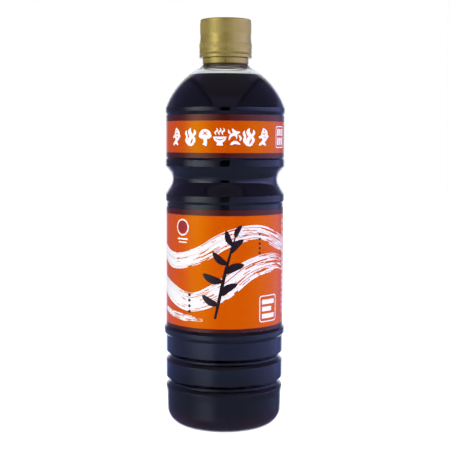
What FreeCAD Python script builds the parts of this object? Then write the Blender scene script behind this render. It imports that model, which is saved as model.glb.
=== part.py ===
"""Dashi concentrate in a one-litre PET bottle with a gold screw cap.

The bottle is a thin blown shell turned about Z: a foot with grip grooves, a sunk panel
for the tall body label, a pinched waist between two hoops, a sunk panel for the collar
label, a domed shoulder and a neck.  The drink fills it to just under the neck, a closure
ring sits on the neck's seat and the cap stands on the neck's lip.

Frame: origin on the standing face at the bottle's axis, +Z up, millimetres.
Each driving length is one cell of the sheet "sizes"; every sketch dimension is an
expression of those cells, so the pieces keep fitting when a cell changes.
"""
import FreeCAD, Part
import math
import os

import Sketcher

DRIVING = {
    # overall
    "overall_height": 269.2,
    "body_radius": 39.05,
    "wall": 0.45,
    # foot
    "foot_height": 26.25,
    "foot_draw_in": 1.2,
    "foot_corner": 10.8,
    "foot_lip_height": 4.95,
    "foot_lip_depth": 0.7,
    "foot_lip_blend": 5.0,
    "stand_width": 15.6,
    "punt_slope": 7.0,
    "punt_rise": 3.0,
    "punt_blend": 5.0,
    # grip grooves and the bands between them
    "groove_count": 2,
    "groove_height": 6.2,
    "groove_depth": 2.3,
    "groove_root": 1.4,
    "groove_lip_blend": 0.8,
    "groove_root_blend": 0.9,
    "band_height": 11.05,
    "belly_height": 10.9,
    # sill, the bead that the body label stands on
    "sill_height": 6.6,
    "sill_face": 3.0,
    "sill_proud": 1.3,
    "bead_blend": 0.8,
    # label panels
    "lower_panel_depth": 0.3,
    "upper_panel_depth": 0.2,
    "upper_panel_height": 27.9,
    # hoops above and below the waist
    "hoop_proud": 0.5,
    "hoop_slope": 1.3,
    "hoop_blend": 1.4,
    "lower_hoop_face": 3.9,
    "upper_hoop_face": 4.3,
    # waist
    "waist_depth": 5.9,
    "waist_below": 10.8,
    "waist_above": 7.9,
    "waist_blend": 8.0,
    # shoulder and dome
    "shoulder_proud": 0.6,
    "shoulder_slope": 2.0,
    "shoulder_face": 2.4,
    "shoulder_blend": 3.0,
    "dome_height": 27.2,
    "dome_radius": 47.3,
    # neck and its seat
    "seat_edge": 0.4,
    "seat_thickness": 1.1,
    "seat_ledge": 1.0,
    "neck_radius": 13.0,
    "neck_wall": 1.6,
    # drink
    "headspace": 5.85,
    "drink_clearance": 0.05,
    # labels
    "film": 0.15,
    "label_standoff": 0.2,
    "label_end_gap": 0.3,
    "lower_label_top_gap": 3.3,
    # closure ring on the neck's seat
    "ring_clearance": 0.3,
    "ring_wall": 1.9,
    "ring_height": 5.2,
    "ring_chamfer": 0.4,
    "ring_bead": 0.9,
    "ring_line_width": 0.8,
    "ring_line_depth": 0.6,
    "slot_count": 12,
    "slot_width": 0.8,
    "slot_height": 1.6,
    "slot_depth": 0.5,
    # screw cap on the neck's lip
    "cap_height": 25.1,
    "cap_lift": 0.3,
    "cap_clearance": 2.3,
    "cap_wall": 1.5,
    "cap_top": 1.2,
    "cap_skirt": 11.0,
    "cap_step": 0.6,
    "cap_step_height": 2.0,
    "cap_bead": 1.8,
    "cap_line_width": 0.7,
    "cap_line_depth": 0.3,
    "cap_edge_blend": 0.9,
}


class Size:
    """A length: the expression text that the document keeps, and its present value."""

    def __init__(self, text, value):
        self.text = text
        self.value = value

    def __add__(self, other):
        if other is ZERO:
            return self
        if self is ZERO:
            return other
        return Size(f"{self.text} + {other.text}", self.value + other.value)

    def __sub__(self, other):
        if other is ZERO:
            return self
        return Size(f"{self.text} - ({other.text})", self.value - other.value)

    def half(self):
        return Size(f"({self.text}) / 2", self.value / 2)


ZERO = Size("0", 0.0)


class Corner:
    """A corner of an outline: its place, the blend on it and the bow of the side after it."""

    def __init__(self, radius, height, blend=None, bow=None):
        self.radius = radius
        self.height = height
        self.blend = blend
        self.bow = bow
        self.place = FreeCAD.Vector(radius.value, height.value, 0)


# ------------------------------------------------------------------ document and sheet

doc = FreeCAD.newDocument("dashi_bottle")
sheet = doc.addObject("Spreadsheet::Sheet", "sizes")
for row, (alias, number) in enumerate(DRIVING.items(), start=1):
    sheet.set(f"A{row}", alias)
    sheet.set(f"B{row}", str(number))
    sheet.setAlias(f"B{row}", alias)
doc.recompute()


def size(*aliases):
    """The sum of the named cells."""
    result = ZERO
    for alias in aliases:
        result = result + Size(f"sizes.{alias}", float(sheet.get(alias)))
    return result


# ------------------------------------------------------------------ sketches and features

def new_body(label):
    body = doc.addObject("PartDesign::Body", label)
    body.Label = label
    return body


def new_sketch(body, name):
    """A sketch in the plane of radius (across) and height (up)."""
    sketch = body.newObject("Sketcher::SketchObject", name)
    upright = next(f for f in body.Origin.OriginFeatures if f.Role == "XZ_Plane")
    sketch.AttachmentSupport = [(upright, "")]
    sketch.MapMode = "FlatFace"
    return sketch


def arc_between(centre, radius, start, end):
    """The arc that runs counter-clockwise from start to end."""
    first, last = (math.atan2(p.y - centre.y, p.x - centre.x) for p in (start, end))
    if last < first:
        last += 2 * math.pi
    return Part.ArcOfCircle(Part.Circle(centre, FreeCAD.Vector(0, 0, 1), radius), first, last)


def quarter_left(heading):
    return FreeCAD.Vector(-heading.y, heading.x, 0)


class Side:
    """The side from one corner to the next, straight or bowed outward."""

    def __init__(self, first, last):
        self.bow = first.bow
        self.start = first.place
        self.end = last.place
        if self.bow:
            chord = self.end - self.start
            reach = math.sqrt(self.bow.value ** 2 - (chord.Length / 2) ** 2)
            self.centre = (self.start + self.end) / 2 + quarter_left(chord).normalize() * reach

    def heading(self, place):
        if self.bow:
            return quarter_left(place - self.centre).normalize()
        return (self.end - self.start).normalize()

    def shape(self, start, end):
        if self.bow:
            return arc_between(self.centre, self.bow.value, start, end)
        return Part.LineSegment(start, end)


class Outline:
    """Draws a closed outline counter-clockwise and ties each size of it to the sheet."""

    ACROSS_AXIS, UP_AXIS = -1, -2
    START, END = 1, 2

    def __init__(self, sketch, corners):
        self.sketch = sketch
        self.corners = corners
        self.constraints = []
        self.bound = []
        followers = corners[1:] + corners[:1]
        self.sides = [Side(first, last) for first, last in zip(corners, followers)]
        blends = [self.blend(index) for index in range(len(corners))]
        self.lines = []
        for side, here, there in zip(self.sides, blends, blends[1:] + blends[:1]):
            self.lines.append(sketch.addGeometry(side.shape(here[1], there[0]), False))
        for index, blend in enumerate(blends):
            self.join(index, *blend)
        for side, line in zip(self.sides, self.lines):
            if side.bow:
                self.measure(side.bow, "Radius", line)
        sketch.addConstraint(self.constraints)
        for constraint, text in self.bound:
            sketch.setExpression(f"Constraints[{constraint}]", text)

    def blend(self, index):
        """Where the two sides at a corner stop, and how far the outline turns there."""
        corner = self.corners[index]
        arrive = self.sides[index - 1].heading(corner.place)
        leave = self.sides[index].heading(corner.place)
        turn = math.atan2(arrive.cross(leave).z, arrive.dot(leave))
        run = corner.blend.value * math.tan(abs(turn) / 2) if corner.blend else 0
        return corner.place - arrive * run, corner.place + leave * run, turn

    def join(self, index, stop, start, turn):
        corner = self.corners[index]
        before, after = self.lines[index - 1], self.lines[index]
        if not corner.blend:
            self.tie("Coincident", before, self.END, after, self.START)
            self.locate(corner, after)
            return
        arrive = self.sides[index - 1].heading(corner.place)
        reach = math.copysign(corner.blend.value, turn)
        centre = stop + quarter_left(arrive) * reach
        ends, order = (stop, start), (self.START, self.END)
        if turn < 0:
            ends, order = ends[::-1], order[::-1]
        arc = self.sketch.addGeometry(arc_between(centre, corner.blend.value, *ends), False)
        self.tie("Tangent", before, self.END, arc, order[0])
        self.tie("Tangent", arc, order[1], after, self.START)
        self.measure(corner.blend, "Radius", arc)
        peak = self.sketch.addGeometry(Part.Point(corner.place), True)
        self.tie("PointOnObject", peak, self.START, before)
        self.tie("PointOnObject", peak, self.START, after)
        self.locate(corner, peak)

    def locate(self, corner, shape):
        """Fixes the start of a shape at a corner."""
        for length, kind, axis in (
            (corner.radius, "DistanceX", self.UP_AXIS),
            (corner.height, "DistanceY", self.ACROSS_AXIS),
        ):
            if length is ZERO:
                self.tie("PointOnObject", shape, self.START, axis)
            else:
                self.measure(length, kind, self.ACROSS_AXIS, self.START, shape, self.START)

    def tie(self, *terms):
        self.constraints.append(Sketcher.Constraint(*terms))

    def measure(self, length, *terms):
        self.bound.append((len(self.constraints), length.text))
        self.tie(*terms, length.value)


def turned(body, kind, name, corners):
    """A Revolution or a Groove: an outline turned fully about Z."""
    sketch = new_sketch(body, f"{name}_outline")
    Outline(sketch, corners)
    feature = body.newObject(f"PartDesign::{kind}", name)
    feature.Profile = sketch
    feature.ReferenceAxis = (sketch, ["V_Axis"])
    feature.Angle = 360
    return feature


def tube_corners(bore, outside, foot, top):
    return [Corner(bore, foot), Corner(outside, foot), Corner(outside, top), Corner(bore, top)]


# ------------------------------------------------------------------ radii

BODY = size("body_radius")
FOOT = BODY - size("foot_draw_in")
FOOT_WALL = BODY - size("foot_lip_depth")
STAND = FOOT - size("stand_width")
PUNT = STAND - size("punt_slope")
GROOVE_ROOT = BODY - size("groove_depth")
SILL = BODY + size("sill_proud")
LOWER_PANEL = BODY - size("lower_panel_depth")
UPPER_PANEL = BODY - size("upper_panel_depth")
HOOP = BODY + size("hoop_proud")
WAIST = BODY - size("waist_depth")
SHOULDER = BODY + size("shoulder_proud")
NECK = size("neck_radius")
NECK_BORE = NECK - size("neck_wall")
RING_BORE = NECK + size("ring_clearance")
RING = RING_BORE + size("ring_wall")
SEAT = RING + size("seat_ledge")
CAP_BORE = NECK + size("cap_clearance")
CAP_CROWN = CAP_BORE + size("cap_wall")
CAP_SKIRT = CAP_CROWN + size("cap_step")

# ------------------------------------------------------------------ heights
# From the standing face up to the body label's panel, and from the cap down to it:
# the panel takes up a change of the overall height.

GROOVE_COUNT = int(sheet.get("groove_count"))
GROOVE_FEET = [size("foot_height")]
for _ in range(GROOVE_COUNT - 1):
    GROOVE_FEET.append(GROOVE_FEET[-1] + size("groove_height", "band_height"))
SILL_FOOT = GROOVE_FEET[-1] + size("groove_height", "belly_height")
LOWER_PANEL_FOOT = SILL_FOOT + size("sill_height")

CAP_FOOT = size("overall_height") - size("cap_height")
LIP = size("overall_height") - size("cap_top")
RING_TOP = CAP_FOOT - size("cap_lift")
SEAT_HEIGHT = RING_TOP - size("ring_height")
FILL = SEAT_HEIGHT - size("headspace")
DOME_TOP = SEAT_HEIGHT - size("seat_edge")
DOME_FOOT = DOME_TOP - size("dome_height")
SHOULDER_FOOT = DOME_FOOT - size("shoulder_face")
UPPER_PANEL_TOP = SHOULDER_FOOT - size("shoulder_slope")
UPPER_PANEL_FOOT = UPPER_PANEL_TOP - size("upper_panel_height")
UPPER_HOOP_TOP = UPPER_PANEL_FOOT - size("hoop_slope")
UPPER_HOOP_FOOT = UPPER_HOOP_TOP - size("upper_hoop_face")
WAIST_HEIGHT = UPPER_HOOP_FOOT - size("waist_above")
LOWER_HOOP_TOP = WAIST_HEIGHT - size("waist_below")
LOWER_HOOP_FOOT = LOWER_HOOP_TOP - size("lower_hoop_face")
LOWER_PANEL_TOP = LOWER_HOOP_FOOT - size("hoop_slope")


# ------------------------------------------------------------------ bottle and drink

def foot_corners(inset):
    return [
        Corner(ZERO, size("punt_rise") + inset),
        Corner(PUNT, size("punt_rise") + inset, size("punt_blend")),
        Corner(STAND, inset, size("punt_blend")),
        Corner(FOOT - inset, inset, size("foot_corner") - inset),
        Corner(
            FOOT_WALL - inset,
            size("foot_height") - size("foot_lip_height"),
            size("foot_lip_blend"),
        ),
    ]


def groove_corners(inset, foot):
    slope = (size("groove_height") - size("groove_root")).half()
    root_foot = foot + slope
    return [
        Corner(BODY - inset, foot, size("groove_lip_blend")),
        Corner(GROOVE_ROOT - inset, root_foot, size("groove_root_blend")),
        Corner(GROOVE_ROOT - inset, root_foot + size("groove_root"), size("groove_root_blend")),
        Corner(BODY - inset, foot + size("groove_height"), size("groove_lip_blend")),
    ]


def sill_corners(inset):
    slope = (size("sill_height") - size("sill_face")).half()
    blend = size("bead_blend")
    return [
        Corner(BODY - inset, SILL_FOOT, blend),
        Corner(SILL - inset, SILL_FOOT + slope, blend),
        Corner(SILL - inset, SILL_FOOT + slope + size("sill_face"), blend),
        Corner(LOWER_PANEL - inset, LOWER_PANEL_FOOT, blend),
    ]


def waist_corners(inset):
    bead, hoop = size("bead_blend"), size("hoop_blend")
    return [
        Corner(LOWER_PANEL - inset, LOWER_PANEL_TOP, bead),
        Corner(HOOP - inset, LOWER_HOOP_FOOT, bead),
        Corner(HOOP - inset, LOWER_HOOP_TOP, hoop),
        Corner(WAIST - inset, WAIST_HEIGHT, size("waist_blend")),
        Corner(HOOP - inset, UPPER_HOOP_FOOT, hoop),
        Corner(HOOP - inset, UPPER_HOOP_TOP, bead),
        Corner(UPPER_PANEL - inset, UPPER_PANEL_FOOT, bead),
    ]


def shoulder_corners(inset):
    bead = size("bead_blend")
    return [
        Corner(UPPER_PANEL - inset, UPPER_PANEL_TOP, bead),
        Corner(SHOULDER - inset, SHOULDER_FOOT, bead),
        Corner(
            SHOULDER - inset,
            DOME_FOOT,
            size("shoulder_blend"),
            bow=size("dome_radius") - inset,
        ),
    ]


def body_corners(inset):
    """The turned outline from the punt to the dome, drawn in from the skin by inset."""
    corners = foot_corners(inset)
    for foot in GROOVE_FEET:
        corners += groove_corners(inset, foot)
    return corners + sill_corners(inset) + waist_corners(inset) + shoulder_corners(inset)


def skin_corners():
    return body_corners(ZERO) + [
        Corner(SEAT, DOME_TOP),
        Corner(SEAT, SEAT_HEIGHT),
        Corner(NECK, SEAT_HEIGHT),
        Corner(NECK, LIP),
        Corner(ZERO, LIP),
    ]


def hollow_corners(clearance):
    """The inside of the shell, less a clearance for what fills it."""
    ceiling = SEAT_HEIGHT - (size("seat_thickness") + clearance)
    return body_corners(size("wall") + clearance) + [
        Corner(SEAT, ceiling),
        Corner(NECK_BORE - clearance, ceiling),
        Corner(NECK_BORE - clearance, LIP),
        Corner(ZERO, LIP),
    ]


def make_bottle():
    body = new_body("bottle")
    turned(body, "Revolution", "skin", skin_corners())
    turned(body, "Groove", "hollow", hollow_corners(ZERO))
    return body


def make_drink():
    body = new_body("drink")
    turned(body, "Revolution", "filling", hollow_corners(size("drink_clearance")))
    turned(body, "Groove", "airspace", tube_corners(ZERO, BODY, FILL, LIP))
    return body


# ------------------------------------------------------------------ labels

def make_label(name, panel, foot, top):
    """A film sleeve that stands a little off its sunk panel."""
    inside = panel + size("label_standoff")
    body = new_body(name)
    turned(body, "Revolution", "sleeve", tube_corners(inside, inside + size("film"), foot, top))
    return body


def make_lower_label():
    foot = LOWER_PANEL_FOOT + size("label_end_gap")
    top = LOWER_PANEL_TOP - size("lower_label_top_gap")
    return make_label("lower_label", LOWER_PANEL, foot, top)


def make_upper_label():
    foot = UPPER_PANEL_FOOT + size("label_end_gap")
    top = UPPER_PANEL_TOP - size("label_end_gap")
    return make_label("upper_label", UPPER_PANEL, foot, top)


# ------------------------------------------------------------------ closure

def line_corners(radius, foot, width, depth):
    """A V-shaped line cut round an outside wall, listed upward."""
    return [
        Corner(radius, foot),
        Corner(radius - depth, foot + width.half()),
        Corner(radius, foot + width),
    ]


def make_closure_ring():
    body = new_body("closure_ring")
    bead_top = SEAT_HEIGHT + size("ring_bead")
    line = line_corners(RING, bead_top, size("ring_line_width"), size("ring_line_depth"))
    chamfer = size("ring_chamfer")
    turned(body, "Revolution", "ring", [
        Corner(RING_BORE, SEAT_HEIGHT),
        Corner(RING - chamfer, SEAT_HEIGHT),
        Corner(RING, SEAT_HEIGHT + chamfer),
        *line,
        Corner(RING, RING_TOP),
        Corner(RING_BORE, RING_TOP),
    ])
    cut_slots(body, bead_top + size("ring_line_width"))
    return body


def cut_slots(body, foot):
    """Short upright slots round the ring, just above its line."""
    sketch = new_sketch(body, "slot_outline")
    sketch.setExpression("AttachmentOffset.Base.z", RING.text)
    half = size("slot_width").half()
    Outline(sketch, slot_corners(half, foot))
    pocket = body.newObject("PartDesign::Pocket", "slot")
    pocket.Profile = sketch
    pocket.setExpression("Length", size("slot_depth").text)
    pattern = body.newObject("PartDesign::PolarPattern", "slots")
    pattern.Originals = [pocket]
    pattern.Axis = (sketch, ["V_Axis"])
    pattern.Angle = 360
    pattern.setExpression("Occurrences", "sizes.slot_count")
    body.Tip = pattern


def slot_corners(half, foot):
    top = foot + size("slot_height")
    return tube_corners(ZERO - half, half, foot, top)


def make_cap():
    body = new_body("cap")
    skirt_top = CAP_FOOT + size("cap_skirt")
    crown_top = size("overall_height")
    line = line_corners(
        CAP_SKIRT, CAP_FOOT + size("cap_bead"), size("cap_line_width"), size("cap_line_depth")
    )
    turned(body, "Revolution", "shell", [
        Corner(CAP_BORE, CAP_FOOT),
        Corner(CAP_SKIRT, CAP_FOOT),
        *line,
        Corner(CAP_SKIRT, skirt_top),
        Corner(CAP_CROWN, skirt_top + size("cap_step_height")),
        Corner(CAP_CROWN, crown_top, size("cap_edge_blend")),
        Corner(ZERO, crown_top),
        Corner(ZERO, LIP),
        Corner(CAP_BORE, LIP),
    ])
    return body


# ------------------------------------------------------------------ build, check, write

PIECES = [
    make_bottle(),
    make_drink(),
    make_upper_label(),
    make_lower_label(),
    make_closure_ring(),
    make_cap(),
]
doc.recompute()

for item in doc.Objects:
    faults = {"Invalid", "Error"} & set(item.State)
    if faults:
        raise RuntimeError(f"{item.Label}: {', '.join(sorted(faults))}")

for piece in PIECES:
    if piece.Shape.isNull() or not piece.Shape.isValid() or len(piece.Shape.Solids) != 1:
        raise RuntimeError(f"{piece.Label}: not one valid solid")

os.makedirs("parts", exist_ok=True)
for piece in PIECES:
    piece.Shape.exportStep(f"parts/{piece.Label}.step")
    box = piece.Shape.BoundBox
    print(f"{piece.Label}: {piece.Shape.Volume:.1f} mm3, z {box.ZMin:.2f} to {box.ZMax:.2f}")
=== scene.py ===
"""Dashi concentrate bottle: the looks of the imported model, with its studio.

The bottle stands on the origin with its front toward -Y.  Blender's lengths are metres.  Outlines are in
millimetres: a turned one as (radius, height), and a print laid out flat, as u round its sleeve from the
front middle (to the right) and v up from the sleeve's lower edge.
"""
import math
import random

import bmesh
import bpy
from mathutils import Matrix, Vector, geometry


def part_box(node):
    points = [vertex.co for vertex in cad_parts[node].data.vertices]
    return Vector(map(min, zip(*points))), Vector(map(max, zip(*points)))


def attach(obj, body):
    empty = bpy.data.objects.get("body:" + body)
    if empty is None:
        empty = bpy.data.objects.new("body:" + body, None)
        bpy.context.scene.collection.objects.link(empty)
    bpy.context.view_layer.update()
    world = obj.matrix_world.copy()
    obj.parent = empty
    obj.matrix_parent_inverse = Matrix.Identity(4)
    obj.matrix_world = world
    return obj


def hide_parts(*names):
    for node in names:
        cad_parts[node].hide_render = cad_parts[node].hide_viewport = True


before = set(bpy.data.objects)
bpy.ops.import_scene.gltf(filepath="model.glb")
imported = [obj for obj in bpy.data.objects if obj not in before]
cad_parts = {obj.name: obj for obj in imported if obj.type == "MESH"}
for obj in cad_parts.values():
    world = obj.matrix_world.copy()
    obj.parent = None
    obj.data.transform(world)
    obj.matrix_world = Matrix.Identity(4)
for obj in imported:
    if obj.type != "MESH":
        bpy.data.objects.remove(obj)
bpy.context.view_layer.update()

MM = 0.001
CREASE = math.radians(35)
TURNED_SIDES = 144
scene = bpy.context.scene


# ---------------------------------------------------------------- small helpers

def rgb(code):
    """An sRGB hex code as linear colour."""
    parts = [int(code[i:i + 2], 16) / 255 for i in (1, 3, 5)]
    return tuple(c / 12.92 if c <= 0.04045 else ((c + 0.055) / 1.055) ** 2.4 for c in parts) + (1.0,)


def add(tree, kind, links=None, inputs=None, stops=None, **settings):
    """A node of that kind, with its settings, its input values and the sockets linked to its inputs.  A
    colour ramp's stops are (place, linear colour)."""
    node = tree.nodes.new(kind)
    for key, value in settings.items():
        setattr(node, key, value)
    for key, value in (inputs or {}).items():
        node.inputs[key].default_value = value
    for key, socket in (links or {}).items():
        tree.links.new(socket, node.inputs[key])
    if stops:
        band = node.color_ramp.elements
        band.remove(band[-1])
        band[0].position, band[0].color = stops[0]
        for place, colour in stops[1:]:
            band.new(place).color = colour
    return node


def material(name, **sockets):
    """A material with one principled shader and the object's own coordinates, in millimetres."""
    made = bpy.data.materials.new(name)
    made.use_nodes = True
    tree = made.node_tree
    tree.nodes.clear()
    shader = add(tree, "ShaderNodeBsdfPrincipled", inputs=sockets)
    add(tree, "ShaderNodeOutputMaterial", {"Surface": shader.outputs["BSDF"]})
    place = add(tree, "ShaderNodeTexCoord")
    mm = add(tree, "ShaderNodeMapping", {"Vector": place.outputs["Object"]}, {"Scale": (1000, 1000, 1000)})
    return made, tree, shader, mm.outputs["Vector"]


def mesh_object(name, verts, faces, mat):
    """A smooth piece from points and faces, riding on the bottle."""
    mesh = bpy.data.meshes.new(name)
    mesh.from_pydata(verts, [], faces)
    mesh.validate()
    mesh.polygons.foreach_set("use_smooth", [True] * len(mesh.polygons))
    mesh.materials.append(mat)
    made = bpy.data.objects.new(name, mesh)
    scene.collection.objects.link(made)
    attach(made, "root")
    return made


# ---------------------------------------------------------------- materials

# Real sizes of the finishes' patterns, in millimetres.
WALL_PATCH = 25.0       # a blown wall is a little uneven in patches like these
STOCK_CLOUD = 20.0      # the slow drift of colour in the stock
METAL_FLAKE = 1 / 3     # the flakes are far finer, and are drawn this coarse so that they show
PRINT_CLOUD = 12.5      # an even field of print still drifts a little
INK_MOTTLE = 5 / 3
TABLE_FLECK = 2.0

# In a mix node of colours, inputs 6 and 7 are the two colours and output 2 is their mix.


def pet():
    """Blown PET: clear, colourless and glossy, with a very slight haze where the wall is uneven."""
    made, tree, shader, mm = material("blown_pet", **{"Transmission Weight": 1.0, "IOR": 1.57})
    haze = add(tree, "ShaderNodeTexNoise", {"Vector": mm}, {"Scale": 1 / WALL_PATCH, "Detail": 2.0})
    gloss = add(tree, "ShaderNodeMapRange", {"Value": haze.outputs["Fac"]}, {"To Min": 0.0, "To Max": 0.03})
    tint = add(tree, "ShaderNodeValToRGB", {"Fac": haze.outputs["Fac"]},
               stops=[(0.3, rgb("#F2F5F3")), (0.7, rgb("#F8FAF9"))])
    tree.links.new(gloss.outputs["Result"], shader.inputs["Roughness"])
    tree.links.new(tint.outputs["Color"], shader.inputs["Base Color"])
    return made


def concentrate():
    """Dashi concentrate: soy and bonito stock so dark that a centimetre of it is black.  Low on its left and
    right flanks it is painted brown-red, as painted light shining through the thin liquid at the foot.  It
    wets the wall, so nearly all the gloss is the wall's own: the step from PET to liquid reflects little."""
    made, tree, shader, mm = material("dashi_concentrate", **{"Roughness": 0.06, "IOR": 1.16})
    cloud = add(tree, "ShaderNodeTexNoise", {"Vector": mm}, {"Scale": 1 / STOCK_CLOUD, "Detail": 2.0})
    deep = add(tree, "ShaderNodeValToRGB", {"Fac": cloud.outputs["Fac"]},
               stops=[(0.35, rgb("#030204")), (0.65, rgb("#060407"))])
    place = add(tree, "ShaderNodeSeparateXYZ", {"Vector": mm})
    # Painted light shining through the liquid: reddest up to 3 mm above the stand and gone by 15 mm; near
    # the middle three tenths as strong as beside.
    rim = add(tree, "ShaderNodeMapRange", {"Value": place.outputs["Z"]},
              {"From Min": 15.0, "From Max": 3.0})
    off = add(tree, "ShaderNodeMath", {0: place.outputs["X"]}, operation="ABSOLUTE")
    flank = add(tree, "ShaderNodeMapRange", {"Value": off.outputs[0]},
                {"From Min": 8.0, "From Max": 30.0, "To Min": 0.3})
    thin = add(tree, "ShaderNodeMath", {0: rim.outputs["Result"], 1: flank.outputs["Result"]},
               operation="MULTIPLY")
    mix = add(tree, "ShaderNodeMix", {"Factor": thin.outputs[0], 6: deep.outputs["Color"]},
              {7: rgb("#48191A")}, data_type="RGBA")
    tree.links.new(mix.outputs[2], shader.inputs["Base Color"])
    return made


def gold():
    """Gold-lacquered polypropylene: metal flake in a tinted lacquer, so half mirror and half matt, with a
    satin shine that still shows the dark gap between the lights.  The tamper ring is painted brown toward
    its foot, as painted shade."""
    made, tree, shader, mm = material("gold_lacquer", **{"Metallic": 0.5, "Roughness": 0.19})
    grain = add(tree, "ShaderNodeTexNoise", {"Vector": mm}, {"Scale": 1 / METAL_FLAKE, "Detail": 3.0})
    colour = add(tree, "ShaderNodeValToRGB", {"Fac": grain.outputs["Fac"]},
                 stops=[(0.3, rgb("#AC984B")), (0.7, rgb("#B6A255"))])
    place = add(tree, "ShaderNodeSeparateXYZ", {"Vector": mm})
    # Painted shade: the ring darkens to brown from 241 mm above the stand down to 239.6 mm.
    painted_shade = add(tree, "ShaderNodeMapRange", {"Value": place.outputs["Z"]},
                {"From Min": 241.0, "From Max": 239.6})
    mix = add(tree, "ShaderNodeMix", {"Factor": painted_shade.outputs["Result"], 6: colour.outputs["Color"]},
              {7: rgb("#5E4324")}, data_type="RGBA")
    bump = add(tree, "ShaderNodeBump", {"Height": grain.outputs["Fac"]},
               {"Strength": 0.08, "Distance": 0.05 * MM})
    tree.links.new(mix.outputs[2], shader.inputs["Base Color"])
    tree.links.new(bump.outputs["Normal"], shader.inputs["Normal"])
    return made


def film(name, node, foot_margin, top_margin, light, dark):
    """Shrink film printed orange between thin maroon margins: smooth, with a pearl gloss tinted by the
    ink."""
    made, tree, shader, mm = material(name, **{"Roughness": 0.24, "IOR": 1.9})
    low, high = (corner.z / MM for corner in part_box(node))
    span = high - low
    place = add(tree, "ShaderNodeSeparateXYZ", {"Vector": mm})
    height = add(tree, "ShaderNodeMapRange", {"Value": place.outputs["Z"]},
                 {"From Min": low, "From Max": high})
    cloud = add(tree, "ShaderNodeTexNoise", {"Vector": mm}, {"Scale": 1 / PRINT_CLOUD, "Detail": 3.0})
    orange = add(tree, "ShaderNodeValToRGB", {"Fac": cloud.outputs["Fac"]},
                 stops=[(0.3, rgb(dark)), (0.7, rgb(light))])
    blur = 0.1
    margin, field = (0, 0, 0, 1), (1, 1, 1, 1)
    mask = add(tree, "ShaderNodeValToRGB", {"Fac": height.outputs["Result"]}, stops=[
        ((foot_margin - blur) / span, margin), ((foot_margin + blur) / span, field),
        (1 - (top_margin + blur) / span, field), (1 - (top_margin - blur) / span, margin)])
    colour = add(tree, "ShaderNodeMix", {"Factor": mask.outputs["Color"], 7: orange.outputs["Color"]},
                 {6: rgb("#3E0A0E")}, data_type="RGBA")
    pearl = add(tree, "ShaderNodeMix", {"Factor": mask.outputs["Color"]},
                {6: rgb("#FFB890"), 7: rgb("#FFF000")}, data_type="RGBA")
    tree.links.new(colour.outputs[2], shader.inputs["Base Color"])
    tree.links.new(pearl.outputs[2], shader.inputs["Specular Tint"])
    return made


def ink(name, light, dark):
    """Printed ink under the film's gloss: an even coat with a slight mottle."""
    made, tree, shader, mm = material(name, **{"Roughness": 0.3, "IOR": 1.5})
    mottle = add(tree, "ShaderNodeTexNoise", {"Vector": mm}, {"Scale": 1 / INK_MOTTLE, "Detail": 4.0})
    colour = add(tree, "ShaderNodeValToRGB", {"Fac": mottle.outputs["Fac"]},
                 stops=[(0.3, rgb(dark)), (0.7, rgb(light))])
    tree.links.new(colour.outputs["Color"], shader.inputs["Base Color"])
    return made


PET = pet()
DRINK = concentrate()
GOLD = gold()
# The lower film's orange is a little lighter than the upper's, as painted light: more light falls low down.
UPPER_FILM = film("upper_label_film", "upper_label", 3.1, 4.0, "#CC4604", "#C84203")
LOWER_FILM = film("lower_label_film", "lower_label", 2.4, 3.7, "#D84B04", "#D44703")
WHITE = ink("white_ink", "#FFFEF6", "#F8F6EC")
BLACK = ink("black_ink", "#260E0A", "#1C0908")
RED = ink("red_ink", "#A8281E", "#96201A")

for node, mat in (("closure_ring", GOLD), ("upper_label", UPPER_FILM), ("lower_label", LOWER_FILM)):
    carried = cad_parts[node]
    carried.data.materials.clear()
    carried.data.materials.append(mat)


# ---------------------------------------------------------------- turned pieces

def outline_of(node):
    """The half outline of a CAD solid turned about Z, as (radius, height), from its underside round to
    where it meets the axis again."""
    b = bmesh.new()
    b.from_mesh(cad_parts[node].data)
    bmesh.ops.remove_doubles(b, verts=b.verts, dist=1e-6)
    cut = bmesh.ops.bisect_plane(b, geom=b.verts[:] + b.edges[:] + b.faces[:], dist=1e-7,
                                 plane_co=(0, 0, 0), plane_no=(0, 1, 0))["geom_cut"]
    links = {}
    for edge in cut:
        if isinstance(edge, bmesh.types.BMEdge) and all(v.co.x > -1e-7 for v in edge.verts):
            first, last = edge.verts
            links.setdefault(first, []).append(last)
            links.setdefault(last, []).append(first)
    here = min((v for v in links if len(links[v]) == 1), key=lambda v: v.co.z)
    before, points = None, [(0.0, here.co.z / MM)]
    while here:
        points.append((here.co.x / MM, here.co.z / MM))
        onward = [v for v in links[here] if v is not before]
        before, here = here, onward[0] if onward else None
    b.free()
    points.append((0.0, points[-1][1]))
    return [p for p, q in zip(points, points[1:] + [(-1, -1)]) if math.dist(p, q) > 1e-4]


def outset(outline, by):
    """The outline moved out by a small distance, no higher than it was."""
    top = max(height for _, height in outline)
    made = []
    for (r0, z0), (r, z), (r1, z1) in zip(outline[:1] + outline, outline, outline[1:] + outline[-1:]):
        run = math.dist((r0, z0), (r1, z1))
        made.append((max(0.0, r + (z1 - z0) / run * by), min(top, z - (r1 - r0) / run * by)))
    return made


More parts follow.
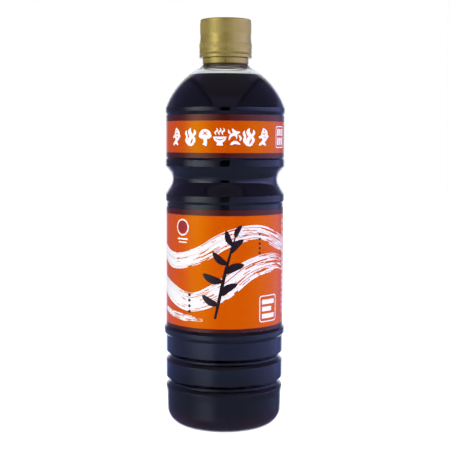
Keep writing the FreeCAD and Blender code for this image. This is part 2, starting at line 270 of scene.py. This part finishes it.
def turned(name, outline, mat):
    """A turned piece from (radius, height) points, listed so that the solid is on their left.  Its shading
    follows the larger faces, so flats look flat."""
    verts, faces = [], []
    rows = len(outline)
    for i in range(TURNED_SIDES):
        a = 2 * math.pi * i / TURNED_SIDES
        for r, height in outline:
            verts.append((r * MM * math.sin(a), -r * MM * math.cos(a), height * MM))
    for i in range(TURNED_SIDES):
        j = (i + 1) % TURNED_SIDES
        for k in range(rows - 1):
            faces.append((i * rows + k, j * rows + k, j * rows + k + 1, i * rows + k + 1))
    made = mesh_object(name, verts, faces, mat)
    b = bmesh.new()
    b.from_mesh(made.data)
    bmesh.ops.remove_doubles(b, verts=b.verts, dist=1e-6)
    b.to_mesh(made.data)
    b.free()
    made.data.set_sharp_from_angle(angle=CREASE)
    smooth = made.modifiers.new("shading", "WEIGHTED_NORMAL")
    smooth.mode, smooth.keep_sharp = "FACE_AREA", True
    return made


shell = turned("blown_bottle", outline_of("bottle"), PET)
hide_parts("bottle")

# The drink reaches a little into the wall, so that no air shows between them.
WETTING = 0.2
drink = turned("dashi_fill", outset(outline_of("drink"), WETTING), DRINK)
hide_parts("drink")

# The cap's walls: a skirt, a band for the fingers a little inside it, and a narrower crown.
low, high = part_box("cap")
foot, top = low.z / MM, high.z / MM
cap_wall, cap_lid = 1.5, 1.2
skirt = high.x / MM
grip = skirt - 0.16
crown = skirt - 0.6
bore, lid = crown - cap_wall, top - cap_lid
CAP = [
    # the inside: under the lid, and down the bore to the open foot
    (0.0, lid), (bore, lid), (bore, foot),
    # the skirt's rounded foot, its groove and the bead above
    (skirt - 0.25, foot), (skirt - 0.05, foot + 0.1), (skirt, foot + 0.35), (skirt, foot + 1.9),
    (skirt - 0.2, foot + 2.2), (skirt - 0.32, foot + 2.5), (skirt - 0.2, foot + 2.8),
    (skirt - 0.02, foot + 3.2), (skirt, foot + 3.9), (skirt - 0.04, foot + 4.6), (skirt - 0.12, foot + 5.2),
    # the band for the fingers, and the cone up to the crown
    (grip, foot + 5.8), (grip, foot + 7.6), (grip - 0.06, foot + 8.8), (crown + 0.14, foot + 11.9),
    (crown + 0.02, foot + 13.4), (crown - 0.04, foot + 14.2), (crown - 0.04, foot + 14.6),
    # the crown, its rounded edge and the top
    (crown, foot + 15.1), (crown, top - 0.7), (crown - 0.06, top - 0.38), (crown - 0.2, top - 0.18),
    (crown - 0.42, top - 0.05), (crown - 0.7, top), (0.4, top), (0.0, top),
]
cap = turned("gold_cap", CAP, GOLD)
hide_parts("cap")


def ribs_round_a_barrel():
    """A Geometry Nodes tree: upright round ribs stood evenly round a barrel.  Lengths are metres."""
    tree = bpy.data.node_groups.new("ribs_round_a_barrel", "GeometryNodeTree")
    tree.interface.new_socket("Count", in_out="INPUT", socket_type="NodeSocketInt")
    for name in ("Ring radius", "Rib radius", "Rib length", "Middle height"):
        tree.interface.new_socket(name, in_out="INPUT", socket_type="NodeSocketFloat")
    tree.interface.new_socket("Geometry", in_out="OUTPUT", socket_type="NodeSocketGeometry")
    given = add(tree, "NodeGroupInput").outputs
    ring = add(tree, "GeometryNodeMeshCircle", {"Vertices": given["Count"], "Radius": given["Ring radius"]})
    rib = add(tree, "GeometryNodeMeshCylinder",
              {"Radius": given["Rib radius"], "Depth": given["Rib length"]}, {"Vertices": 12})
    stood = add(tree, "GeometryNodeInstanceOnPoints",
                {"Points": ring.outputs[0], "Instance": rib.outputs["Mesh"]})
    lift = add(tree, "ShaderNodeCombineXYZ", {"Z": given["Middle height"]})
    raised = add(tree, "GeometryNodeTransform",
                 {"Geometry": stood.outputs[0], "Translation": lift.outputs[0]})
    real = add(tree, "GeometryNodeRealizeInstances", {"Geometry": raised.outputs[0]})
    clad = add(tree, "GeometryNodeSetMaterial", {"Geometry": real.outputs[0]}, {"Material": GOLD})
    add(tree, "NodeGroupOutput", {"Geometry": clad.outputs[0]})
    return tree


def grown(name, tree, sizes):
    """The plain mesh that a Geometry Nodes tree makes with those sizes."""
    made = bpy.data.objects.new(name, bpy.data.meshes.new(name))
    scene.collection.objects.link(made)
    grow = made.modifiers.new("grow", "NODES")
    grow.node_group = tree
    for socket in tree.interface.items_tree:
        if socket.in_out == "INPUT":
            grow[socket.identifier] = sizes[socket.name]
    mesh = bpy.data.meshes.new_from_object(made.evaluated_get(bpy.context.evaluated_depsgraph_get()))
    made.modifiers.remove(grow)
    made.data = mesh
    mesh.name = name
    mesh.set_sharp_from_angle(angle=CREASE)
    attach(made, "root")
    return made


# Fine ribs for the fingers, round the skirt and round the crown, each a hair proud of its wall.
RIBS, RIB, PROUD = 120, 0.22, 0.08
RIBBED = {"skirt_ribs": (grip, foot + 6.0, foot + 9.4), "crown_ribs": (crown, foot + 15.6, top - 2.0)}
rib_tree = ribs_round_a_barrel()
for name, (wall, start, end) in RIBBED.items():
    ribs = grown(name, rib_tree, {
        "Count": RIBS, "Ring radius": (wall + PROUD - RIB) * MM, "Rib radius": RIB * MM,
        "Rib length": (end - start) * MM, "Middle height": (start + end) / 2 * MM})


# ---------------------------------------------------------------- the print

class Sleeve:
    """A label's outside, a hair proud of its film, that flat artwork is laid round."""

    def __init__(self, node, proud):
        low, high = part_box(node)
        self.radius = high.x / MM + proud
        self.foot = low.z / MM
        self.height = high.z / MM - self.foot

    def wrapped(self, u, v):
        """A point of the flat artwork in its place on the sleeve, in metres."""
        a = u / self.radius
        return self.radius * MM * math.sin(a), -self.radius * MM * math.cos(a), (self.foot + v) * MM


def spaced(outline, step):
    """The closed outline with points no more than a step apart."""
    points = []
    for (x0, y0), (x1, y1) in zip(outline, outline[1:] + outline[:1]):
        n = max(1, math.ceil(math.hypot(x1 - x0, y1 - y0) / step))
        points += [(x0 + (x1 - x0) * i / n, y0 + (y1 - y0) * i / n) for i in range(n)]
    return points


def printed(name, sleeve, mat, solids, cuts=()):
    """Closed outlines laid on the sleeve as thin print: all that is in a solid outline and in none of the
    cuts.  Points no more than a step apart, also inside the outlines, let the print follow the sleeve."""
    step = 1.0
    points, loops = [], []
    for outline in list(solids) + list(cuts):
        ring = spaced(outline, step)
        if sum(x0 * y1 - x1 * y0 for (x0, y0), (x1, y1) in zip(ring, ring[1:] + ring[:1])) < 0:
            ring.reverse()
        loops.append(list(range(len(points), len(points) + len(ring))))
        points += ring
        us, vs = [p[0] for p in ring], [p[1] for p in ring]
        for i in range(1, int((max(us) - min(us)) / step)):
            for j in range(1, int((max(vs) - min(vs)) / step)):
                points.append((min(us) + i * step, min(vs) + j * step))
    flat, _, tris, _, _, owners = geometry.delaunay_2d_cdt([Vector(p) for p in points], [], loops, 0, 1e-4)
    faces = [t for t, own in zip(tris, owners) if own and max(own) < len(solids)]
    used = sorted({i for t in faces for i in t})
    index = {old: new for new, old in enumerate(used)}
    verts = [sleeve.wrapped(*flat[i]) for i in used]
    mesh_object(name, verts, [tuple(index[i] for i in t) for t in faces], mat)


def curve_through(points, count):
    """Evenly many points on a smooth curve through these ones."""
    ends = [points[0]] + list(points) + [points[-1]]
    made = []
    for i in range(count):
        t = i / (count - 1) * (len(points) - 1)
        k = min(int(t), len(points) - 2)
        s = t - k
        made.append(tuple(
            0.5 * (2 * b + (c - a) * s + (2 * a - 5 * b + 4 * c - d) * s * s
                   + (3 * b - a - 3 * c + d) * s ** 3)
            for a, b, c, d in zip(*ends[k:k + 4])))
    return made


def sides_of(line):
    """The unit normal of the line at each of its points."""
    normals = []
    for before, after in zip(line[:1] + line, line[1:] + line[-1:]):
        length = math.dist(before[:2], after[:2]) or 1
        normals.append(((before[1] - after[1]) / length, (after[0] - before[0]) / length))
    return normals


def ribbon(points, width, count=14):
    """The outline of a drawn line that swells from its ends to that width; points may carry their own share
    of the width."""
    line = curve_through(points, count)
    left, right = [], []
    for i, (p, n) in enumerate(zip(line, sides_of(line))):
        share = p[2] if len(p) > 2 else max(0.06, abs(math.sin(math.pi * i / (count - 1))) ** 0.7)
        half = width / 2 * share
        left.append((p[0] + n[0] * half, p[1] + n[1] * half))
        right.append((p[0] - n[0] * half, p[1] - n[1] * half))
    return left + right[::-1]


def moved(outline, u, v, turn=0.0, size=1.0):
    """The outline turned, in degrees, sized and moved."""
    c, s = math.cos(math.radians(turn)) * size, math.sin(math.radians(turn)) * size
    return [(u + x * c - y * s, v + x * s + y * c) for x, y in outline]


def arc(u, v, r, start=0, end=360, count=32):
    """Points round a circle, from one angle to another in degrees."""
    steps = (math.radians(start + (end - start) * i / count) for i in range(count + (end - start < 360)))
    return [(u + r * math.cos(a), v + r * math.sin(a)) for a in steps]


def rounded(u0, v0, u1, v1, r):
    """A rectangle with rounded corners."""
    return (arc(u1 - r, v0 + r, r, -90, 0, 5) + arc(u1 - r, v1 - r, r, 0, 90, 5)
            + arc(u0 + r, v1 - r, r, 90, 180, 5) + arc(u0 + r, v0 + r, r, 180, 270, 5))


def brushed(name, sleeve, mat, strokes, seed):
    """Dry brush strokes: each is a bundle of bristle tracks that start, thin out and break by themselves.
    A stroke is (points with their share of the width, width, bristles, dryness).  A track is a strip of
    quads between pairs of points, and it breaks where the bristle runs dry."""
    chance = random.Random(seed)
    verts, faces = [], []
    count = 90
    for points, width, bristles, dry in strokes:
        line = curve_through(points, count)
        normals = sides_of(line)
        for k in range(bristles):
            across = (k + 0.5) / bristles - 0.5
            edge = abs(across) * 2
            first = int(count * chance.uniform(0, 0.05 + 0.06 * edge))
            last = int(count * (1 - chance.uniform(0, 0.05 + 0.20 * dry * (0.4 + edge))))
            thick = chance.uniform(0.72, 1.25)
            wet, run = True, chance.randint(15, 60)
            pair = None
            for i in range(first, last):
                run -= 1
                if run <= 0:
                    late = i / count
                    if wet:
                        wet, run = False, max(1, int(chance.expovariate(1 / (1 + 9 * dry * (0.3 + late)))))
                    else:
                        wet, run = True, chance.randint(4, 12 + int(50 * (1 - dry * late)))
                if not wet:
                    pair = None
                    continue
                p, n = line[i], normals[i]
                share = width * p[2]
                half = share / bristles / 2 * thick * (1 + 0.12 * math.sin(i * 0.9 + k * 2.1))
                mid = share * across
                for reach in (mid - half, mid + half):
                    verts.append(sleeve.wrapped(p[0] + n[0] * reach, p[1] + n[1] * reach))
                here = (len(verts) - 2, len(verts) - 1)
                if pair:
                    faces.append((pair[0], here[0], here[1], pair[1]))
                pair = here
    mesh_object(name, verts, faces, mat)


# Each figure is (solid outlines, cuts), drawn round its own middle.

def fish():
    """A plain fish, head up, with a round eye and two lines for its gill and side."""
    body = ribbon([(-0.6, -3.0, 0.2), (0.4, -1.2, 0.75), (0.8, 1.2, 1.0),
                   (0.4, 3.6, 0.8), (-0.5, 5.6, 0.1)], 5.6)
    tail = [(0.0, -2.2), (-1.4, -2.4), (-4.0, -4.6), (-3.2, -5.6), (-0.9, -4.5), (1.6, -5.6), (2.0, -4.6)]
    fins = [[(-1.6, 1.6), (-4.1, 0.2), (-3.6, -0.9), (-1.4, -0.6)],
            [(3.0, 1.8), (4.3, 0.6), (3.7, -0.6), (2.6, -0.4)]]
    eye = arc(0.6, 3.9, 0.5, count=12)
    gill = ribbon([(-1.3, 2.6), (0.3, 1.9), (2.2, 2.5)], 0.6)
    side = ribbon([(-0.6, 0.4), (0.8, -0.1), (2.0, 0.4)], 0.5)
    return [body, tail] + fins, [eye, gill, side]


def kelp():
    """Three waving fronds on one foot."""
    fronds = (
        ([(-0.2, -5.3, 0.4), (-1.1, -2.6, 1.0), (0.6, 0.4, 0.9), (-0.8, 3.0, 1.0), (0.2, 5.5, 0.2)], 2.7),
        ([(0.6, -5.2, 0.4), (2.9, -2.4, 1.0), (2.0, 0.4, 0.8), (3.4, 2.6, 0.9), (2.8, 4.6, 0.2)], 2.1),
        ([(-0.9, -5.2, 0.4), (-3.3, -2.6, 1.0), (-2.8, 0.0, 0.8), (-3.6, 2.2, 0.9), (-3.2, 4.0, 0.2)], 1.9),
        ([(-2.6, -4.6), (0, -5.3), (2.6, -4.6)], 1.2),
    )
    return [ribbon(points, width) for points, width in fronds], []


def shiitake():
    """A mushroom with two crossed cuts in its cap."""
    hood = [(x, y * 1.15) for x, y in arc(0.0, 0.0, 4.3, 0, 180, 16)]
    hood += [(-2.8, -1.1), (0.0, -1.5), (2.8, -1.1)]
    stalk = ribbon([(0.0, -1.2, 0.9), (0.2, -3.4, 0.8), (-0.3, -5.4, 1.1)], 2.8)
    cross = [ribbon([(-1.7, 1.0), (0, 2.2), (1.7, 3.4)], 0.7, 8),
             ribbon([(-1.5, 3.5), (0.1, 2.1), (1.7, 0.9)], 0.7, 8)]
    return [hood, stalk], cross


def bowl():
    """A footed bowl with a line round it, under three wisps of steam."""
    cup = [(x, 0.2 + (y - 0.2) * 0.95) for x, y in arc(0.0, 0.2, 4.2, 180, 360, 16)]
    foot = [(-1.7, -3.4), (1.7, -3.4), (2.1, -5.4), (-2.1, -5.4)]
    steam = [ribbon([(x, 1.2), (x - 0.8, 2.7), (x + 0.7, 4.1), (x, 5.6)], 1.1) for x in (-2.2, 0.0, 2.2)]
    return [cup, foot] + steam, [ribbon([(-3.0, -1.0), (0, -1.9), (3.0, -1.0)], 0.6)]


def flakes():
    """Curled shavings of dried fish."""
    curls = (
        ([(-3.6, -2.2), (-2.2, 1.0), (0.8, 1.4), (1.4, -1.2)], 1.9),
        ([(-1.6, 5.2), (0.6, 2.6), (3.6, 3.2)], 2.2),
        ([(-2.8, -5.0), (0.4, -3.4), (3.8, -4.8)], 2.0),
        ([(2.6, 1.2), (4.0, -0.6), (3.4, -2.6)], 1.4),
        ([(-3.9, 4.6), (-3.4, 2.8), (-2.4, 1.9)], 1.2),
    )
    return [ribbon(points, width) for points, width in curls], []


# How far each coat of print stands off the film, in millimetres, and what each ink stroke adds to the second.
FIRST_COAT, SECOND_COAT, LAST_COAT, STROKE_RISE = 0.06, 0.09, 0.13, 0.004
UPPER = Sleeve("upper_label", FIRST_COAT)
LOWER = Sleeve("lower_label", FIRST_COAT)

# The upper band: a row of plain figures seen evenly spaced from the front, and a framed block of bars.
FIGURES = (fish, kelp, shiitake, bowl, flakes, kelp, fish)
FIRST_FIGURE, FIGURE_PITCH, BAND_MIDDLE = -31.3, 9.3, 13.2
solids, cuts = [], []
for i, figure in enumerate(FIGURES):
    u = math.asin((FIRST_FIGURE + FIGURE_PITCH * i) / UPPER.radius) * UPPER.radius
    whole, gaps = figure()
    solids += [moved(o, u, BAND_MIDDLE) for o in whole]
    cuts += [moved(o, u, BAND_MIDDLE) for o in gaps]
solids.append(rounded(38.5, 6.4, 50.0, 20.4, 1.2))
cuts.append(rounded(39.1, 7.0, 49.4, 19.8, 0.8))
block = []
for i in range(3):
    u = 40.2 + 3.0 * i
    block += [rounded(u, 14.2, u + 2.2, 18.6, 0.2), rounded(u, 8.2, u + 2.2, 13.0, 0.2)]
printed("upper_band_figures", UPPER, WHITE, solids, cuts)
printed("upper_band_bars", UPPER, WHITE, block)

# The lower label's white marks: a ring round a red dot with two bars, a framed block of bars and a column
# of dashes.
MEDAL = (-30.0, 66.8)
solids = [arc(*MEDAL, 5.4), rounded(-34.6, 58.8, -25.4, 59.8, 0.3), rounded(-33.6, 56.8, -26.4, 57.6, 0.3),
          rounded(24.0, 5.6, 40.0, 23.0, 2.0)]
cuts = [arc(*MEDAL, 4.5), rounded(24.7, 6.3, 39.3, 22.3, 1.4)]
dashes = [rounded(50.0, 8.8 + 4.0 * i, 51.6, 11.4 + 4.0 * i, 0.3) for i in range(16)]
bars = [rounded(26.2, 8.0 + 4.6 * i, 37.8 - 3.0 * (i % 2), 11.0 + 4.6 * i, 0.4) for i in range(3)]
printed("lower_label_marks", LOWER, WHITE, solids, cuts)
printed("lower_label_bars", LOWER, WHITE, bars + dashes)
printed("medallion", LOWER, RED, [arc(*MEDAL, 4.0)])

# Water: three long dry strokes that rise and fall round the label.
WATER = [
    ([(-58, 53, 0.7), (-40, 45, 1.0), (-18, 49, 1.0), (2, 60, 1.0),
      (22, 64, 0.9), (44, 57, 1.0), (60, 52, 0.6)], 10.5, 24, 0.8),
    ([(-60, 32, 0.7), (-42, 24, 1.0), (-22, 19, 1.0), (-2, 27, 1.1),
      (16, 40, 1.1), (36, 44, 1.0), (58, 38, 0.6)], 12.0, 27, 0.9),
    ([(-52, 12, 0.6), (-34, 9, 0.9), (-12, 7.5, 0.6)], 5, 12, 1.0),
]
brushed("water_strokes", LOWER, WHITE, WATER, seed=4)

# The ink sprig, drawn over the water, each stroke a hair above the one before, and two lines of dots.  A
# leaf is (u, v, turn, size) where it leaves the stem.
LEAVES = ((-4.0, 18, 148, 1.1), (-2.6, 24, 32, 1.2), (-1.2, 33, 158, 1.25), (0.2, 38, 22, 1.25),
          (1.8, 44, 138, 1.1), (3.8, 51, 44, 1.1), (5.2, 56, 112, 0.95), (6.8, 61, 60, 0.8))
sprig = [ribbon([(-6, 9, 0.6), (-2.5, 25, 0.9), (1, 41, 0.8), (7, 62, 0.3)], 2.4, 24)]
sprig += [moved(ribbon([(0, 0), (5, 1.2), (11, 0.4)], 4.0), *leaf) for leaf in LEAVES]
for i, stroke in enumerate(sprig):
    printed(f"ink_sprig_{i}", Sleeve("lower_label", SECOND_COAT + STROKE_RISE * i), BLACK, [stroke])
dots = [arc(-24.0, 12.8 + 3.6 * i, 1.0, count=14) for i in range(4)]
dots += [arc(24.0, 50.8 + 3.0 * i, 0.8, count=12) for i in range(5)]
printed("ink_dots", Sleeve("lower_label", LAST_COAT), BLACK, dots)


# The back: each film's glued seam down the middle, and a white panel of plain ruled lines beside it, every
# fourth line shorter.
SEAM, INSET = 4, 0.05
for name, sleeve, mat in (("upper_seam", UPPER, UPPER_FILM), ("lower_seam", LOWER, LOWER_FILM)):
    u, upper_edge = math.pi * sleeve.radius, sleeve.height - INSET
    printed(name, sleeve, mat, [[
        (u - SEAM, INSET), (u + SEAM, INSET), (u + SEAM, upper_edge), (u - SEAM, upper_edge)]])
BACK = math.pi * LOWER.radius
printed("back_panel", LOWER, WHITE, [rounded(BACK - 46, 8, BACK - 8, 70, 1.5)])
lines = [rounded(BACK - 43, 12 + 3.2 * i, BACK - 11 - 9 * (i % 4 == 0), 12.7 + 3.2 * i, 0.2)
         for i in range(17)]
printed("back_lines", Sleeve("lower_label", SECOND_COAT), BLACK, lines)


# ---------------------------------------------------------------- floor and light

def pale_table():
    """A pale matt table top, lit to near white, with a fleck too faint to see from afar."""
    made, tree, shader, mm = material("pale_table", **{"Roughness": 0.9, "Emission Strength": 1.0})
    fleck = add(tree, "ShaderNodeTexNoise", {"Vector": mm}, {"Scale": 1 / TABLE_FLECK, "Detail": 2.0})
    colour = add(tree, "ShaderNodeValToRGB", {"Fac": fleck.outputs["Fac"]},
                 stops=[(0.3, rgb("#F4F4F4")), (0.7, rgb("#F8F8F8"))])
    tree.links.new(colour.outputs["Color"], shader.inputs["Base Color"])
    shader.inputs["Emission Color"].default_value = rgb("#FFFFFF")
    return made


# A disc a hair below the bottle's foot.  The bottle mirrors the studio's own table panel instead of it.
FLOOR_RADIUS, FLOOR_DROP = 3.0, 0.0002
b = bmesh.new()
bmesh.ops.create_circle(b, cap_ends=True, segments=96, radius=FLOOR_RADIUS)
disc = bpy.data.meshes.new("floor")
b.to_mesh(disc)
b.free()
disc.materials.append(pale_table())
table = bpy.data.objects.new("floor", disc)
table.location.z = -FLOOR_DROP
table.visible_glossy = False
scene.collection.objects.link(table)

MIDDLE = Vector((0, 0, 0.13))


def soft_box(name, colour, power, size, place):
    """A large even rectangle of light aimed at the bottle's middle, not itself mirrored in the bottle."""
    data = bpy.data.lights.new(name, "AREA")
    data.shape, data.size, data.size_y = "RECTANGLE", *size
    data.color, data.energy = rgb(colour)[:3], power
    made = bpy.data.objects.new(name, data)
    made.location = place
    made.rotation_mode = "QUATERNION"
    made.rotation_quaternion = (MIDDLE - Vector(place)).to_track_quat("-Z", "Y")
    made.visible_glossy = made.visible_transmission = False
    scene.collection.objects.link(made)


soft_box("left_box", "#FCFFF2", 4.6, (0.7, 0.9), (-1.05, -0.5, 0.15))
soft_box("right_box", "#E6DAFF", 5.6, (0.7, 0.9), (1.05, -0.5, 0.15))
soft_box("front_box", "#FFFFFF", 2.2, (0.5, 0.3), (0.0, -1.1, 0.0))


# ---------------------------------------------------------------- the studio that the bottle mirrors

# Panels of even brightness with soft edges: a strong soft box to the viewer's left, a weaker, bluer one to
# the right, a dark gap between the walls where the viewer stands, a dim bluish ceiling and a bluish table.
# A direction is told by its azimuth, from the viewer (0) round by the right (90) or the left (-90) to the
# back (180), by its elevation, both in degrees, and by how far aside it meets a ceiling of height 1 that
# falls by LEAN toward the back.
LEAN, LOWEST = 0.16, 0.01
world = bpy.data.worlds.new("studio")
scene.world = world
world.use_nodes = True
studio = world.node_tree
studio.nodes.clear()
ray = add(studio, "ShaderNodeTexCoord")
way = add(studio, "ShaderNodeSeparateXYZ", {"Vector": ray.outputs["Generated"]})
toward = add(studio, "ShaderNodeMath", {0: way.outputs["Y"]}, {1: -1.0}, operation="MULTIPLY")
turn = add(studio, "ShaderNodeMath", {0: way.outputs["X"], 1: toward.outputs[0]}, operation="ARCTAN2")
azimuth = add(studio, "ShaderNodeMath", {0: turn.outputs[0]}, operation="DEGREES")
rise = add(studio, "ShaderNodeMath", {0: way.outputs["Z"]}, operation="ARCSINE")
elevation = add(studio, "ShaderNodeMath", {0: rise.outputs[0]}, operation="DEGREES")
aside = add(studio, "ShaderNodeMath", {0: way.outputs["X"]}, operation="ABSOLUTE")
leaning = add(studio, "ShaderNodeMath", {0: way.outputs["Y"], 2: way.outputs["Z"]}, {1: LEAN},
              operation="MULTIPLY_ADD")
over = add(studio, "ShaderNodeMath", {0: leaning.outputs[0]}, {1: LOWEST}, operation="MAXIMUM")
sideways = add(studio, "ShaderNodeMath", {0: aside.outputs[0], 1: over.outputs[0]}, operation="DIVIDE")


def panel(colour, sides=None, heights=None, reach=None):
    """Light of that colour between two azimuths, two elevations and two reaches over the ceiling, each as
    (from, its blur, to, its blur).  An edge past the end of the scale cuts nothing off."""
    lit = add(studio, "ShaderNodeCombineXYZ", inputs=dict(zip("XYZ", colour)))
    for scale, span in ((azimuth, sides), (elevation, heights), (sideways, reach)):
        if span:
            for at, blur, before, after in ((*span[:2], 0.0, 1.0), (*span[2:], 1.0, 0.0)):
                share = add(studio, "ShaderNodeMapRange", {"Value": scale.outputs[0]},
                            {"From Min": at - blur / 2, "From Max": at + blur / 2,
                             "To Min": before, "To Max": after}, interpolation_type="SMOOTHSTEP")
                lit = add(studio, "ShaderNodeVectorMath",
                          {0: lit.outputs[0], "Scale": share.outputs["Result"]}, operation="SCALE")
    return lit


PANELS = {
    "ceiling": panel((0.08, 0.07, 0.15), heights=(16, 8, 100, 1)),
    "ceiling, middle": panel((0.14, 0.13, 0.19), heights=(20, 10, 57, 10), reach=(-1, 0.1, 0.60, 0.12)),
    "ceiling, sides": panel((0.06, 0.06, 0.12), heights=(16, 8, 57, 10), reach=(0.72, 0.12, 400, 1)),
    "ceiling, overhead": panel((0.11, 0.10, 0.08), heights=(59, 12, 100, 1)),
    "left wall": panel((0.16, 0.15, 0.28), sides=(-200, 1, -9, 5), heights=(-9, 8, 18, 8)),
    "left box": panel((1.12, 1.22, 1.34), sides=(-75, 36, -33, 50), heights=(-8.5, 12, 15, 8)),
    "left lamp": panel((1.70, 1.60, 1.10), sides=(-60, 24, -34, 24), heights=(10, 4, 16, 4)),
    "left glow": panel((0.30, 0.34, 0.44), sides=(-56, 40, -22, 24), heights=(-30, 8, -7, 10)),
    "right wall": panel((0.20, 0.22, 0.48), sides=(9, 5, 200, 1), heights=(-9, 8, 18, 8)),
    "right box": panel((0.30, 0.34, 0.80), sides=(58, 70, 131, 22), heights=(-13, 16, 18, 8)),
    "right lamp": panel((0.50, 0.44, 1.00), sides=(30, 30, 110, 30), heights=(3, 6, 16, 6)),
    "table": panel((0.11, 0.14, 0.33), heights=(-100, 1, -8, 6)),
    "table edge": panel((0.06, 0.09, 0.28), heights=(-13, 2, -9, 6)),
    "backdrop, left": panel((0.80, 0.82, 0.78), sides=(-400, 1, -156, 16), heights=(-60, 20, 60, 20)),
    "backdrop, right": panel((0.80, 0.82, 0.78), sides=(156, 16, 400, 1), heights=(-60, 20, 60, 20)),
}
total, *others = PANELS.values()
for lit in others:
    total = add(studio, "ShaderNodeVectorMath", {0: total.outputs[0], 1: lit.outputs[0]})

# The camera sees plain white paper instead.  So does a ray that leaves clear plastic without having been
# mirrored, or that has come through both walls of the empty neck.
mirrored = add(studio, "ShaderNodeBackground", {"Color": total.outputs[0]}, {"Strength": 1.0})
paper = add(studio, "ShaderNodeBackground", inputs={"Color": (1, 1, 1, 1), "Strength": 1.0})
path = add(studio, "ShaderNodeLightPath")
unmirrored = add(studio, "ShaderNodeMath", {0: path.outputs["Glossy Depth"]}, {1: 0.5},
                 operation="LESS_THAN")
both_walls = add(studio, "ShaderNodeMath", {0: path.outputs["Transmission Depth"]}, {1: 2.5},
                 operation="GREATER_THAN")
clear = add(studio, "ShaderNodeMath", {0: unmirrored.outputs[0], 1: both_walls.outputs[0]},
            operation="MAXIMUM")
come_through = add(studio, "ShaderNodeMath", {0: path.outputs["Is Transmission Ray"], 1: clear.outputs[0]},
                   operation="MULTIPLY")
sees_paper = add(studio, "ShaderNodeMath", {0: path.outputs["Is Camera Ray"], 1: come_through.outputs[0]},
                 operation="MAXIMUM")
seen = add(studio, "ShaderNodeMixShader",
           {0: sees_paper.outputs[0], 1: mirrored.outputs[0], 2: paper.outputs[0]})
add(studio, "ShaderNodeOutputWorld", {"Surface": seen.outputs[0]})


# ---------------------------------------------------------------- camera

# A little above the bottle's middle, looking slightly down, with a slight roll.
EYE, TARGET = Vector((0.0006, -0.685, 0.1890)), Vector((0.00015, 0.0, 0.13353))
ROLL = math.radians(0.28)
camera = bpy.data.objects.new("camera", bpy.data.cameras.new("camera"))
camera.data.lens, camera.data.sensor_width = 82.0, 36.0
camera.data.clip_start, camera.data.clip_end = 0.05, 20.0
camera.location = EYE
camera.rotation_mode = "QUATERNION"
rolled = Matrix.Rotation(ROLL, 3, "Z").to_quaternion()
camera.rotation_quaternion = (TARGET - EYE).to_track_quat("-Z", "Y") @ rolled
scene.collection.objects.link(camera)
scene.camera = camera
scene.view_settings.view_transform = "Standard"
scene.cycles.use_denoising = True
scene.cycles.denoising_input_passes = "RGB"
scene.cycles.max_bounces = 16
scene.cycles.transmission_bounces = 12
